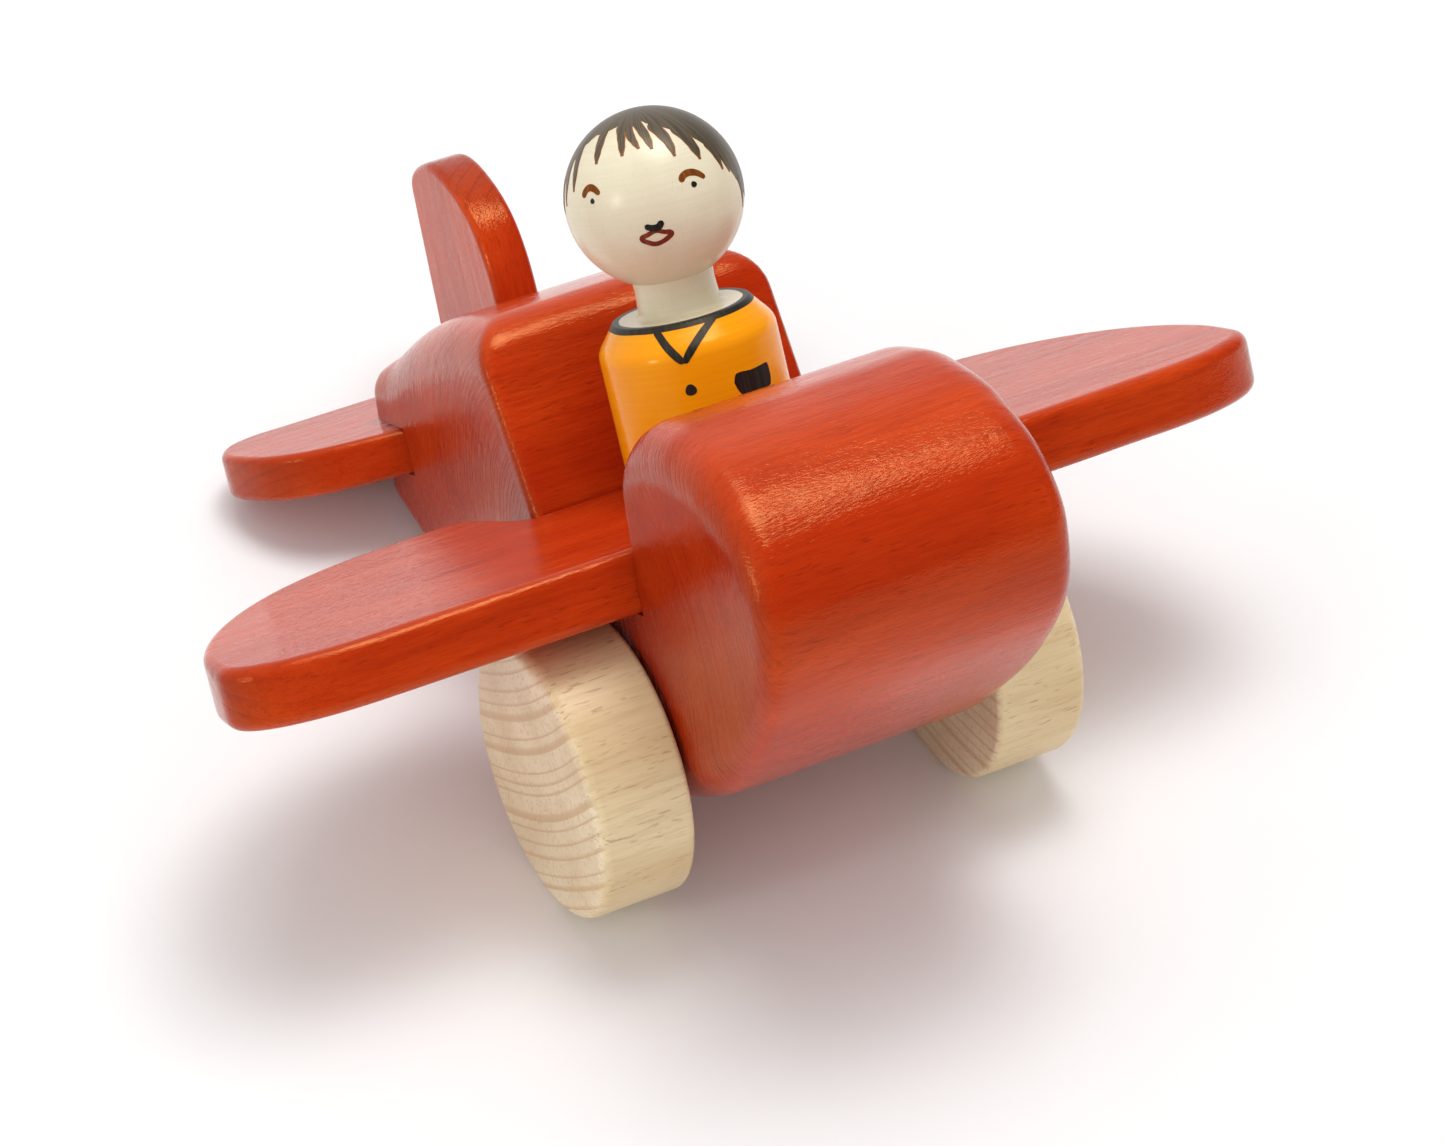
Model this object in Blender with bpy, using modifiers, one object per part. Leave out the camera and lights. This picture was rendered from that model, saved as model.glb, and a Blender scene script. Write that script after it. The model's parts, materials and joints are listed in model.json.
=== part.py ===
"""A wooden push-along toy airplane with a turned peg pilot.

Everything is laid out in the airplane's own level frame: X to the pilot's left,
Y from nose to tail, Z up, with the wing's leading edge at Y = 0 and the wing's
top face at Z = 0.  The toy stands on two wheels and on the trailing edge of its
tailplane, so one empty holds every piece and carries that nose-up attitude.
The world origin is on the floor, under the middle of the standing toy.

Run it with: blender --background --python part.py
"""

import math

import bmesh
import bpy
from mathutils import Matrix, Vector

MM = 0.001

# Driving dimensions, in metres.
GAP = 0.3 * MM                # between two pieces that touch or are glued
PLAY = 0.3 * MM               # round a shaft or a peg that turns

BODY_HALF_WIDTH = 30.5 * MM   # fuselage block, side to side
BODY_EDGE = 9.4 * MM          # rounding of the fuselage's long side edges
COCKPIT_LENGTH = 45.6 * MM    # notch in the fuselage that takes the wing
COCKPIT_FLARE = 0.30          # how far its walls lean out, per unit of height

WING_THICK = 12.0 * MM
WING_CHORD = 60.5 * MM
WING_HALF_SPAN = 105.5 * MM
WING_EDGE = 1.8 * MM

TAIL_THICK = 9.4 * MM         # tailplane and fin are cut from one thinner board
TAIL_TOP = 8.4 * MM           # height of the tailplane's top face
TAIL_REAR = 151.0 * MM
FIN_REAR = 153.2 * MM         # the fin's foot reaches a little past the tailplane
TAIL_HALF_SPAN = 60.0 * MM
TAIL_EDGE = 1.6 * MM
SLOT_FRONT = 111.6 * MM       # front wall of the slots for tailplane and fin

WHEEL_RADIUS = 27.0 * MM
WHEEL_INNER = 31.5 * MM       # inner face, from the middle plane
WHEEL_WIDTH = 19.0 * MM
WHEEL_EDGE = 1.5 * MM
WHEEL_BORE_DEPTH = 13.0 * MM
AXLE_RADIUS = 5.0 * MM
AXLE_Y = 21.0 * MM
AXLE_Z = -41.6 * MM

PILOT_Y = 25.9 * MM
PILOT_BODY_RADIUS = 16.7 * MM
PILOT_SHOULDER_Z = 28.6 * MM
PILOT_COLLAR_RADIUS = 12.9 * MM
PILOT_COLLAR_Z = 33.5 * MM
PILOT_NECK_RADIUS = 7.5 * MM
PILOT_HEAD_RADIUS = 16.5 * MM
PILOT_HEAD_Z = 54.9 * MM
PEG_RADIUS = 4.0 * MM
PEG_IN_WING = 8.0 * MM
PEG_IN_PILOT = 14.0 * MM

ROUND_STEPS = 40              # facets round a wheel, an axle or the pilot

RED = (0.50, 0.055, 0.012)
BEECH = (0.72, 0.52, 0.31)
MAPLE = (0.78, 0.66, 0.46)


# ---------------------------------------------------------------- scene set-up

def clear_scene():
    for old in list(bpy.data.objects):
        bpy.data.objects.remove(old, do_unlink=True)


def new_collection(name):
    made = bpy.data.collections.new(name)
    bpy.context.scene.collection.children.link(made)
    return made


def finish(name, colour, roughness):
    """A painted or bare wood finish."""
    material = bpy.data.materials.new(name)
    material.use_nodes = True
    shader = material.node_tree.nodes["Principled BSDF"]
    shader.inputs["Base Color"].default_value = (*colour, 1.0)
    shader.inputs["Roughness"].default_value = roughness
    shader.inputs["Metallic"].default_value = 0.0
    return material


def add_piece(name, mesh, material, parent):
    piece = bpy.data.objects.new(name, mesh)
    piece.parent = parent
    mesh.materials.clear()
    mesh.materials.append(material)
    PARTS.objects.link(piece)
    return piece


def add_empty(name, parent=None, location=(0.0, 0.0, 0.0)):
    empty = bpy.data.objects.new(name, None)
    empty.parent = parent
    empty.location = location
    PARTS.objects.link(empty)
    return empty


# ------------------------------------------------------------------ mesh tools

def board_mesh(name, outline, thickness, edge, steps):
    """A flat board with rounded edges, from a closed outline of smooth and sharp points.

    Each outline point is (across, along, kind), where kind is "smooth" or "corner".
    """
    curve = bpy.data.curves.new(name, "CURVE")
    curve.dimensions = "2D"
    curve.fill_mode = "BOTH"
    curve.resolution_u = steps
    curve.extrude = thickness / 2 - edge
    curve.bevel_depth = edge
    curve.bevel_resolution = 2
    curve.offset = -edge
    spline = curve.splines.new("BEZIER")
    spline.bezier_points.add(len(outline) - 1)
    spline.use_cyclic_u = True
    for point, (across, along, kind) in zip(spline.bezier_points, outline):
        point.co = (across, along, 0.0)
        handle = "AUTO" if kind == "smooth" else "VECTOR"
        point.handle_left_type = handle
        point.handle_right_type = handle
    holder = bpy.data.objects.new(name + "_outline", curve)
    bpy.context.scene.collection.objects.link(holder)
    bpy.context.view_layer.update()
    solid = holder.evaluated_get(bpy.context.evaluated_depsgraph_get())
    mesh = bpy.data.meshes.new_from_object(solid)
    bpy.data.objects.remove(holder, do_unlink=True)
    weld(mesh)
    mesh.name = name
    return mesh


def weld(mesh):
    work = bmesh.new()
    work.from_mesh(mesh)
    bmesh.ops.remove_doubles(work, verts=work.verts, dist=1e-6)
    bmesh.ops.recalc_face_normals(work, faces=work.faces)
    work.to_mesh(mesh)
    work.free()


def stand_on_edge(mesh):
    """Turn a board drawn as (along, up) so that it stands in the middle plane."""
    turn = Matrix(((0, 0, 1, 0), (1, 0, 0, 0), (0, 1, 0, 0), (0, 0, 0, 1)))
    mesh.transform(turn)


def rod_mesh(name, radius, length, axis):
    """A round rod centred on its origin, lying along axis."""
    work = bmesh.new()
    bmesh.ops.create_cone(
        work, cap_ends=True, segments=ROUND_STEPS,
        radius1=radius, radius2=radius, depth=length)
    mesh = bpy.data.meshes.new(name)
    work.to_mesh(mesh)
    work.free()
    mesh.transform(Vector((0, 0, 1)).rotation_difference(Vector(axis)).to_matrix().to_4x4())
    return mesh


def box_mesh(name, low, high):
    work = bmesh.new()
    size = [high[i] - low[i] for i in range(3)]
    middle = [(high[i] + low[i]) / 2 for i in range(3)]
    bmesh.ops.create_cube(work, size=1.0, matrix=Matrix.LocRotScale(middle, None, size))
    mesh = bpy.data.meshes.new(name)
    work.to_mesh(mesh)
    work.free()
    return mesh


def cut(piece, cutter_mesh, location=(0.0, 0.0, 0.0)):
    """Take the cutter's shape out of the piece."""
    cutter = bpy.data.objects.new(cutter_mesh.name, cutter_mesh)
    cutter.parent = piece.parent
    cutter.location = location
    cutter.hide_render = True
    cutter.display_type = "WIRE"
    CUTTERS.objects.link(cutter)
    modifier = piece.modifiers.new(cutter_mesh.name, "BOOLEAN")
    modifier.operation = "DIFFERENCE"
    modifier.object = cutter
    return cutter


def round_over(piece, width, segments=2):
    bevel = piece.modifiers.new("edge", "BEVEL")
    bevel.width = width
    bevel.segments = segments
    bevel.limit_method = "ANGLE"
    bevel.angle_limit = math.radians(50)


def smooth(piece):
    piece.data.shade_smooth()
    piece.data.set_sharp_from_angle(angle=math.radians(40))


# ---------------------------------------------------------------- the outlines

def fuselage_outline():
    """Side view of the fuselage block before the cockpit is cut, as (Y, Z)."""
    nose = [(-14, 23.7), (-27, 23.9), (-41, 18.4), (-52.5, 7.5),
            (-55.7, -5.0), (-49.5, -19.5), (-35.5, -31.8), (-16, -43.6)]
    belly = [(6, -51.0), (28, -53.2), (50, -49.6), (72, -41.2)]
    tail = [(96, -28.6), (128.3, -7.4), (128.3, 17.7)]
    outline = [(-4.5 * MM, 20.8 * MM, "corner")]
    outline += [(y * MM, z * MM, "smooth") for y, z in nose + belly]
    outline += [(y * MM, z * MM, "corner") for y, z in tail]
    return outline + spine_points()


def spine_points():
    """The rear block's top, which falls faster and faster towards the tail."""
    front, rear = 56.2 * MM, 128.3 * MM
    top, low = 35.4 * MM, 17.7 * MM
    points = []
    for share in (0.85, 0.6, 0.3, 0.0):
        height = low + (top - low) * (1 - share ** 2)
        points.append((front + (rear - front) * share, height, "smooth"))
    points.append((front - 8 * MM, top, "corner"))
    return points


def quarter_arc(centre, radii, start, end, count):
    """Points along an elliptical arc; angles in degrees, end point included."""
    points = []
    for step in range(count + 1):
        angle = math.radians(start + (end - start) * step / count)
        points.append((centre[0] + radii[0] * math.cos(angle),
                       centre[1] + radii[1] * math.sin(angle), "smooth"))
    return points


def mirrored(right_side):
    """Close an outline by adding its mirror image across the middle plane."""
    left_side = [(-x, y, kind) for x, y, kind in reversed(right_side)]
    return right_side + left_side


def wing_outline():
    """Top view of the wing: straight in front, elliptical behind, stepped at the root."""
    straight_to = 79.0 * MM
    tip_y = 13.2 * MM
    rear_arc_x = 55.5 * MM
    lead = [(BODY_HALF_WIDTH, 0.0, "corner")]
    lead += quarter_arc((straight_to, tip_y), (WING_HALF_SPAN - straight_to, tip_y), -90, 0, 4)
    lead += quarter_arc((rear_arc_x, tip_y),
                        (WING_HALF_SPAN - rear_arc_x, WING_CHORD - tip_y), 15, 90, 5)
    root = [(41.5 * MM, WING_CHORD, "smooth"),
            (38.2 * MM, WING_CHORD - 2.6 * MM, "smooth"),
            (35.0 * MM, COCKPIT_LENGTH + 6.0 * MM, "smooth"),
            (32.4 * MM, COCKPIT_LENGTH - GAP, "corner")]
    return mirrored(lead + root)


def tailplane_outline():
    """Top view of the tailplane: rounded in front and at the tips, straight behind."""
    lead = [(BODY_HALF_WIDTH - 2 * MM, SLOT_FRONT + GAP, "corner"),
            (39.5 * MM, 114.9 * MM, "smooth"),
            (48.5 * MM, 118.6 * MM, "smooth"),
            (55.5 * MM, 125.2 * MM, "smooth"),
            (59.2 * MM, 133.5 * MM, "smooth"),
            (TAIL_HALF_SPAN, 141.0 * MM, "smooth"),
            (57.0 * MM, 148.0 * MM, "smooth"),
            (50.5 * MM, TAIL_REAR, "smooth"),
            (45.0 * MM, TAIL_REAR, "corner")]
    return mirrored(lead)


def fin_outline():
    """Side view of the fin as (Y, Z): straight behind, curved in front."""
    foot = TAIL_TOP + GAP
    return [(SLOT_FRONT + GAP, foot, "corner"),
            (FIN_REAR, foot, "corner"),
            (FIN_REAR - 4.2 * MM, 46.0 * MM, "corner"),
            (147.5 * MM, 50.8 * MM, "smooth"),
            (142.0 * MM, 53.4 * MM, "smooth"),
            (132.5 * MM, 54.0 * MM, "smooth"),
            (123.5 * MM, 50.2 * MM, "smooth"),
            (116.2 * MM, 43.5 * MM, "smooth"),
            (112.3 * MM, 34.5 * MM, "smooth"),
            (SLOT_FRONT + GAP, 25.0 * MM, "corner")]


# ------------------------------------------------------------------ the pieces

def make_fuselage(frame):
    mesh = board_mesh("fuselage", fuselage_outline(), 2 * BODY_HALF_WIDTH, BODY_EDGE, 5)
    stand_on_edge(mesh)
    piece = add_piece("fuselage", mesh, finish("red_lacquer", RED, 0.3), frame)
    cut(piece, cockpit_cutter())
    wide = BODY_HALF_WIDTH + 5 * MM
    cut(piece, box_mesh("wing_seat", (-wide, -GAP, -WING_THICK - GAP),
                        (wide, COCKPIT_LENGTH, 4 * MM)))
    tail_bottom = TAIL_TOP - TAIL_THICK
    cut(piece, box_mesh("tailplane_slot", (-wide, SLOT_FRONT, tail_bottom - GAP),
                        (wide, TAIL_REAR, TAIL_TOP + GAP)))
    half_slot = TAIL_THICK / 2 + GAP
    cut(piece, box_mesh("fin_slot", (-half_slot, SLOT_FRONT, TAIL_TOP - MM),
                        (half_slot, TAIL_REAR, 60 * MM)))
    bore = rod_mesh("axle_bore", AXLE_RADIUS + PLAY, 4 * BODY_HALF_WIDTH, (1, 0, 0))
    cut(piece, bore, (0.0, AXLE_Y, AXLE_Z))
    smooth(piece)
    return piece


def cockpit_cutter():
    """The wedge of air above the wing, wider at its top, as a loft of two rectangles."""
    half_width = BODY_HALF_WIDTH + 5 * MM
    height = 45 * MM
    lean = COCKPIT_FLARE * height
    work = bmesh.new()
    bmesh.ops.create_cube(work, size=1.0)
    for vertex in work.verts:
        upper = vertex.co.z > 0
        rear = vertex.co.y > 0
        vertex.co.x = half_width if vertex.co.x > 0 else -half_width
        vertex.co.y = (COCKPIT_LENGTH if rear else -GAP) + (lean if rear else -lean) * upper
        vertex.co.z = height if upper else 0.0
    mesh = bpy.data.meshes.new("cockpit")
    work.to_mesh(mesh)
    work.free()
    return mesh


def make_wing(frame):
    mesh = board_mesh("wing", wing_outline(), WING_THICK, WING_EDGE, 4)
    piece = add_piece("wing", mesh, finish("red_lacquer_wing", RED, 0.3), frame)
    piece.location = (0.0, 0.0, -WING_THICK / 2)
    hole = rod_mesh("peg_hole", PEG_RADIUS + PLAY, 2 * PEG_IN_WING + 2 * GAP, (0, 0, 1))
    cut(piece, hole, (0.0, PILOT_Y, 0.0))
    smooth(piece)
    return piece


def make_tailplane(frame):
    mesh = board_mesh("tailplane", tailplane_outline(), TAIL_THICK, TAIL_EDGE, 4)
    piece = add_piece("tailplane", mesh, finish("red_lacquer_tailplane", RED, 0.3), frame)
    piece.location = (0.0, 0.0, TAIL_TOP - TAIL_THICK / 2)
    smooth(piece)
    return piece


def make_fin(frame):
    mesh = board_mesh("fin", fin_outline(), TAIL_THICK, TAIL_EDGE, 4)
    stand_on_edge(mesh)
    piece = add_piece("fin", mesh, finish("red_lacquer_fin", RED, 0.3), frame)
    smooth(piece)
    return piece


def make_wheels(frame):
    """Two blind-bored wheels on one axle, which turns in the fuselage."""
    spin_axis = add_empty("axle_axis", frame, (0.0, AXLE_Y, AXLE_Z))
    bore_floor = WHEEL_INNER + WHEEL_BORE_DEPTH
    axle = add_piece(
        "axle", rod_mesh("axle", AXLE_RADIUS, 2 * (bore_floor - GAP), (1, 0, 0)),
        finish("beech_axle", BEECH, 0.55), spin_axis)
    smooth(axle)
    for name, side in (("wheel_left", 1), ("wheel_right", -1)):
        mesh = rod_mesh(name, WHEEL_RADIUS, WHEEL_WIDTH, (1, 0, 0))
        wheel = add_piece(name, mesh, finish("beech_" + name, BEECH, 0.5), spin_axis)
        wheel.location.x = side * (WHEEL_INNER + WHEEL_WIDTH / 2)
        round_over(wheel, WHEEL_EDGE)
        bore = rod_mesh(name + "_bore", AXLE_RADIUS + GAP, 2 * WHEEL_BORE_DEPTH, (1, 0, 0))
        cut(wheel, bore, (side * WHEEL_INNER, 0.0, 0.0))
        smooth(wheel)


def pilot_profile():
    """The turned pilot's outer side from crown to foot, then the bore in the foot."""
    neck_end = math.asin(PILOT_NECK_RADIUS / PILOT_HEAD_RADIUS)
    points = []
    head_steps = 14
    for step in range(head_steps + 1):
        angle = (math.pi - neck_end) * step / head_steps
        points.append((PILOT_HEAD_RADIUS * math.sin(angle),
                       PILOT_HEAD_Z + PILOT_HEAD_RADIUS * math.cos(angle)))
    foot_edge = 1.0 * MM
    points += [
        (PILOT_NECK_RADIUS, PILOT_COLLAR_Z + 1.2 * MM),
        (PILOT_NECK_RADIUS + 1.2 * MM, PILOT_COLLAR_Z),
        (PILOT_COLLAR_RADIUS, PILOT_COLLAR_Z),
        (PILOT_BODY_RADIUS - 0.8 * MM, PILOT_SHOULDER_Z + 1.0 * MM),
        (PILOT_BODY_RADIUS, PILOT_SHOULDER_Z - 1.2 * MM),
        (PILOT_BODY_RADIUS, foot_edge + GAP),
        (PILOT_BODY_RADIUS - foot_edge, GAP),
        (PEG_RADIUS + PLAY, GAP),
        (PEG_RADIUS + PLAY, PEG_IN_PILOT + GAP),
        (0.0, PEG_IN_PILOT + GAP),
    ]
    return points


def make_pilot(frame):
    """A peg doll that turns on a peg and lifts off with it."""
    stand_axis = add_empty("pilot_axis", frame, (0.0, PILOT_Y, 0.0))
    work = bmesh.new()
    corners = [work.verts.new((radius, 0.0, height)) for radius, height in pilot_profile()]
    for upper, lower in zip(corners, corners[1:]):
        work.edges.new((upper, lower))
    mesh = bpy.data.meshes.new("pilot")
    work.to_mesh(mesh)
    work.free()
    pilot = add_piece("pilot", mesh, finish("orange_lacquer", MAPLE, 0.35), stand_axis)
    turning = pilot.modifiers.new("turning", "SCREW")
    turning.steps = ROUND_STEPS
    turning.render_steps = ROUND_STEPS
    turning.use_merge_vertices = True
    turning.merge_threshold = 0.00001
    turning.use_smooth_shade = True
    peg_length = PEG_IN_WING + PEG_IN_PILOT - GAP
    peg = add_piece("pilot_peg", rod_mesh("pilot_peg", PEG_RADIUS, peg_length, (0, 0, 1)),
                    finish("beech_peg", BEECH, 0.6), stand_axis)
    peg.location.z = peg_length / 2 - PEG_IN_WING
    smooth(peg)


# ------------------------------------------------------------- standing the toy

def standing_pitch():
    """Nose-up angle at which the wheels and the tailplane's rear edge touch one floor."""
    tail_y = TAIL_REAR - AXLE_Y
    tail_z = (TAIL_TOP - TAIL_THICK) - AXLE_Z
    reach = math.hypot(tail_y, tail_z)
    # The rounded rear edge touches about its own edge radius inside the sharp corner.
    inside = TAIL_EDGE * (math.sqrt(2) - 1) * 0.8
    return math.atan2(tail_z, tail_y) + math.asin((WHEEL_RADIUS - inside) / reach)


def world_box():
    graph = bpy.context.evaluated_depsgraph_get()
    corners = []
    for piece in PARTS.objects:
        if piece.type == "MESH":
            shape = piece.evaluated_get(graph)
            corners += [piece.matrix_world @ v.co for v in shape.data.vertices]
    low = [min(c[i] for c in corners) for i in range(3)]
    high = [max(c[i] for c in corners) for i in range(3)]
    return low, high


def stand_on_floor(frame):
    """Pitch the toy nose-up and put the origin on the floor under its middle."""
    frame.rotation_euler.x = -standing_pitch()
    bpy.context.view_layer.update()
    low, high = world_box()
    frame.location = (-(low[0] + high[0]) / 2, -(low[1] + high[1]) / 2, -low[2])
    bpy.context.view_layer.update()


clear_scene()
PARTS = new_collection("toy_airplane")
CUTTERS = new_collection("cutters")
airframe = add_empty("standing_attitude")
make_fuselage(airframe)
make_wing(airframe)
make_tailplane(airframe)
make_fin(airframe)
make_wheels(airframe)
make_pilot(airframe)
stand_on_floor(airframe)
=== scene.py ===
"""The looks of a wooden push-along airplane with a turned peg pilot.

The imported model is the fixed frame.  Every CAD node is replaced by a finer mesh built here: the lacquered
block and its three boards, the bare wheels, axle and peg, and the turned pilot with painted hair, face and
clothes.  All are drawn in the airplane's own level frame (X to the pilot's left, Y from nose to tail, Z up,
in millimetres, origin on the wing's leading edge) and stood nose-up by one matrix that is worked out from
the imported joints.
"""
import json
import math

import bmesh
import bpy
import numpy as np
from mathutils import Matrix, Vector, noise


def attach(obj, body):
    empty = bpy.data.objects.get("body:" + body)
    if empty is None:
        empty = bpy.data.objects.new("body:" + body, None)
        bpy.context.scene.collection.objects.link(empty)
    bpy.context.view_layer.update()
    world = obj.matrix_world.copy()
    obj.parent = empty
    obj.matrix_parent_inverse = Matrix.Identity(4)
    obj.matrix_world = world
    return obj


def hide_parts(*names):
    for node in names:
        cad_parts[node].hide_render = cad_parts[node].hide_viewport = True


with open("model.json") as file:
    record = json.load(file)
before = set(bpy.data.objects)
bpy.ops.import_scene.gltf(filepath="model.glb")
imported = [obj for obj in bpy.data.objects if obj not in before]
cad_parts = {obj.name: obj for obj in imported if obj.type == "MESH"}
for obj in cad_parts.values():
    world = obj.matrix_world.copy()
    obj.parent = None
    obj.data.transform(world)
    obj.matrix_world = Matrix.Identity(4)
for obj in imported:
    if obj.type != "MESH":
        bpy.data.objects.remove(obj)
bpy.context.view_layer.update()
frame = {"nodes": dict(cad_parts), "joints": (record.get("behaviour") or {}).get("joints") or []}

MM = 0.001

# ---- driving dimensions, in millimetres

GLUE_LINE = 0.3            # gap left round a glued or turning piece, as in the CAD
CUT_PAST = 3.0             # how far a cutter reaches past the wood it cuts

BLOCK_REAR = 128.3
BLOCK_EDGE = 9.4           # round-over along the block's sides
BLOCK_CELL = 1.0           # spacing of the block's mesh
COCKPIT_LENGTH = 45.6      # the notch that takes the wing
COCKPIT_FLOOR = -4.0       # below here its walls stand straight, round the wing's seat
COCKPIT_LEAN = 0.29        # how far its rear wall leans out, per unit of height
COCKPIT_FRONT_LEAN = 0.72 * COCKPIT_LEAN
SEAT_TOP = 0.4             # the straight walls of the wing's seat end just above the wing
RIM_EDGE = 6.4             # round-over on top of the cockpit's walls
CRISP = 2.4                # a lightly sanded edge
SLOT_FRONT = 111.6         # front wall of the slots for tailplane and fin

WING_CHORD = 60.5
WING_EDGE = 1.9
TAIL_EDGE = 1.7
HIDDEN_EDGE = 0.4          # the fin's foot, where it stands on the tailplane

WHEEL_BORE_DEPTH = 13.0

PILOT_Y = 25.9
PILOT_HEAD_RADIUS = 16.5
PILOT_HEAD_Z = 54.9
PILOT_NECK_RADIUS = 7.6
PILOT_COLLAR_RADIUS = 12.9
PILOT_COLLAR_Z = 33.5
PILOT_SHOULDER_Z = 28.6
PILOT_FACING = -26.5       # degrees the doll is turned on its peg, towards the pilot's right

PAINT = 0.05               # thickness of a coat of paint
HAIR_RIM = 0.22            # how far the brown undercoat shows round the hair
HAIR_RIM_UNDER = -1.2      # how far it reaches under the hair

ROOM_FILL = 0.62           # brightness of the room's walls as a source of soft light

# ---- the level frame


def joint(name):
    return next(j for j in frame["joints"] if j["name"] == name)


def level_matrix():
    """Level frame to row frame, from the direction the pilot lifts in and the place it turns about."""
    up = Vector(joint("pilot_lift")["axis"]).normalized()
    across = Vector((1.0, 0.0, 0.0))
    aft = up.cross(across)
    matrix = Matrix((across, aft, up)).transposed().to_4x4()
    matrix.translation = Vector(joint("pilot_turn")["pos_m"]) - aft * PILOT_Y * MM
    return matrix


LEVEL = level_matrix()
TO_LEVEL = LEVEL.inverted()


def level_box(node):
    """Lowest and highest corner of a CAD node in the level frame, in millimetres."""
    corners = np.array([TO_LEVEL @ v.co for v in frame["nodes"][node].data.vertices]) / MM
    return corners.min(0), corners.max(0)


def axle_centre():
    place = TO_LEVEL @ Vector(joint("wheels_spin")["pos_m"])
    return place.y / MM, place.z / MM


BLOCK_LOW, BLOCK_HIGH = level_box("fuselage")
WING_LOW, WING_HIGH = level_box("wing")
TAIL_LOW, TAIL_HIGH = level_box("tailplane")
FIN_LOW, FIN_HIGH = level_box("fin")
WHEEL_LOW, WHEEL_HIGH = level_box("wheel_left")
PEG_LOW, PEG_HIGH = level_box("pilot_peg")
AXLE_LOW, AXLE_HIGH = level_box("axle")
PILOT_LOW, PILOT_HIGH = level_box("pilot")
AXLE_Y, AXLE_Z = axle_centre()
BLOCK_HALF = BLOCK_HIGH[0]
WHEEL_RADIUS = (WHEEL_HIGH[2] - WHEEL_LOW[2]) / 2
WHEEL_WIDTH = WHEEL_HIGH[0] - WHEEL_LOW[0]
AXLE_RADIUS = (AXLE_HIGH[1] - AXLE_LOW[1]) / 2
PEG_RADIUS = (PEG_HIGH[0] - PEG_LOW[0]) / 2
PILOT_RADIUS = PILOT_HIGH[0]

# ---- outline tools

SMOOTH = None              # an outline point that the curve passes through smoothly


def trace(outline, step, closed=True):
    """Points (u, v, edge) along an outline of (u, v, edge, bend).

    bend is SMOOTH, or the fillet radius of a corner there.  edge is carried along and eased between points.
    """
    count = len(outline)
    spots = [Vector(p[:2]) for p in outline]
    directions = [travel(spots, outline, i, closed) for i in range(count)]
    path, bends = [], []
    for i in range(count if closed else count - 1):
        j = (i + 1) % count
        chord = spots[j] - spots[i]
        start = chord if directions[i] is None else directions[i] * chord.length
        end = chord if directions[j] is None else directions[j] * chord.length
        steps = max(1, round(chord.length / step))
        for k in range(steps):
            spot = hermite(spots[i], start, spots[j], end, k / steps)
            edge = outline[i][2] + (outline[j][2] - outline[i][2]) * ease(k / steps)
            path.append((spot.x, spot.y, edge))
            bends.append((outline[i][3] or 0.0) if k == 0 else 0.0)
    if not closed:
        path.append((*outline[-1][:3],))
        bends.append(0.0)
    return fillet_corners(np.array(path), bends, closed)


def travel(spots, outline, i, closed):
    """Direction the curve passes a smooth point in, or None at a corner or a free end."""
    if outline[i][3] is not SMOOTH or (not closed and i in (0, len(spots) - 1)):
        return None
    return (spots[(i + 1) % len(spots)] - spots[i - 1]).normalized()


def ease(share):
    return share * share * (3 - 2 * share)


def hermite(start, start_slope, end, end_slope, t):
    t2, t3 = t * t, t * t * t
    return (start * (2 * t3 - 3 * t2 + 1) + start_slope * (t3 - 2 * t2 + t)
            + end * (3 * t2 - 2 * t3) + end_slope * (t3 - t2))


def fillet_corners(path, bends, closed):
    """Replace each marked corner of a dense path by an arc-like curve of its radius."""
    count = len(path)
    keep = [True] * count
    curves = {}
    for i, radius in enumerate(bends):
        if radius <= 0.0 or (not closed and i in (0, count - 1)):
            continue
        inward = unit(path[i][:2] - path[i - 1][:2])
        outward = unit(path[(i + 1) % count][:2] - path[i][:2])
        turn = math.acos(max(-1.0, min(1.0, float(inward @ outward))))
        reach = radius * math.tan(turn / 2)
        first = walk(path, keep, i, -1, reach)
        last = walk(path, keep, i, 1, reach)
        keep[i] = False
        handle = 4 / 3 * math.tan(turn / 4) * radius
        steps = max(3, math.ceil(math.degrees(turn) / 9))
        curves[i] = bezier(first, inward, last, outward, handle, steps)
    made = []
    for i in range(count):
        if i in curves:
            made.extend(curves[i])
        elif keep[i]:
            made.append(path[i])
    return np.array(made)


def walk(path, keep, i, way, reach):
    """The point this far along the path from a corner; the points passed are dropped."""
    count, gone, at = len(path), 0.0, i
    while True:
        nearer, farther = path[at % count], path[(at + way) % count]
        length = float(np.linalg.norm(farther[:2] - nearer[:2]))
        if gone + length >= reach:
            return nearer + (farther - nearer) * (reach - gone) / length
        gone += length
        at += way
        keep[at % count] = False


def bezier(start, start_way, end, end_way, handle, steps):
    first, last = start[:2] + start_way * handle, end[:2] - end_way * handle
    points = []
    for k in range(steps + 1):
        t = k / steps
        s = 1 - t
        spot = s ** 3 * start[:2] + 3 * s * s * t * first + 3 * s * t * t * last + t ** 3 * end[:2]
        points.append(np.array((*spot, s * start[2] + t * end[2])))
    return points


def unit(vector):
    return vector / max(float(np.linalg.norm(vector)), 1e-12)


def sides(path, closed=True):
    """Unit normals on the right-hand side of travel: outwards, for an anticlockwise outline."""
    ahead = np.roll(path, -1, axis=0) - path
    if not closed:
        ahead[-1] = ahead[-2]
    ahead /= np.maximum(np.linalg.norm(ahead, axis=1, keepdims=True), 1e-12)
    behind = np.roll(ahead, 1, axis=0)
    if not closed:
        behind[0] = ahead[0]
    way = ahead + behind
    way /= np.linalg.norm(way, axis=1, keepdims=True)
    return np.stack((way[:, 1], -way[:, 0]), axis=1)


def run_along(path):
    """Length of the path up to each of its points."""
    return np.concatenate(([0.0], np.cumsum(np.linalg.norm(np.diff(path, axis=0), axis=1))))


def smooth(edge, *spots):
    """Outline points that the curve passes through smoothly, all with the same edge rounding."""
    return [(u, v, edge, SMOOTH) for u, v in spots]


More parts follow.
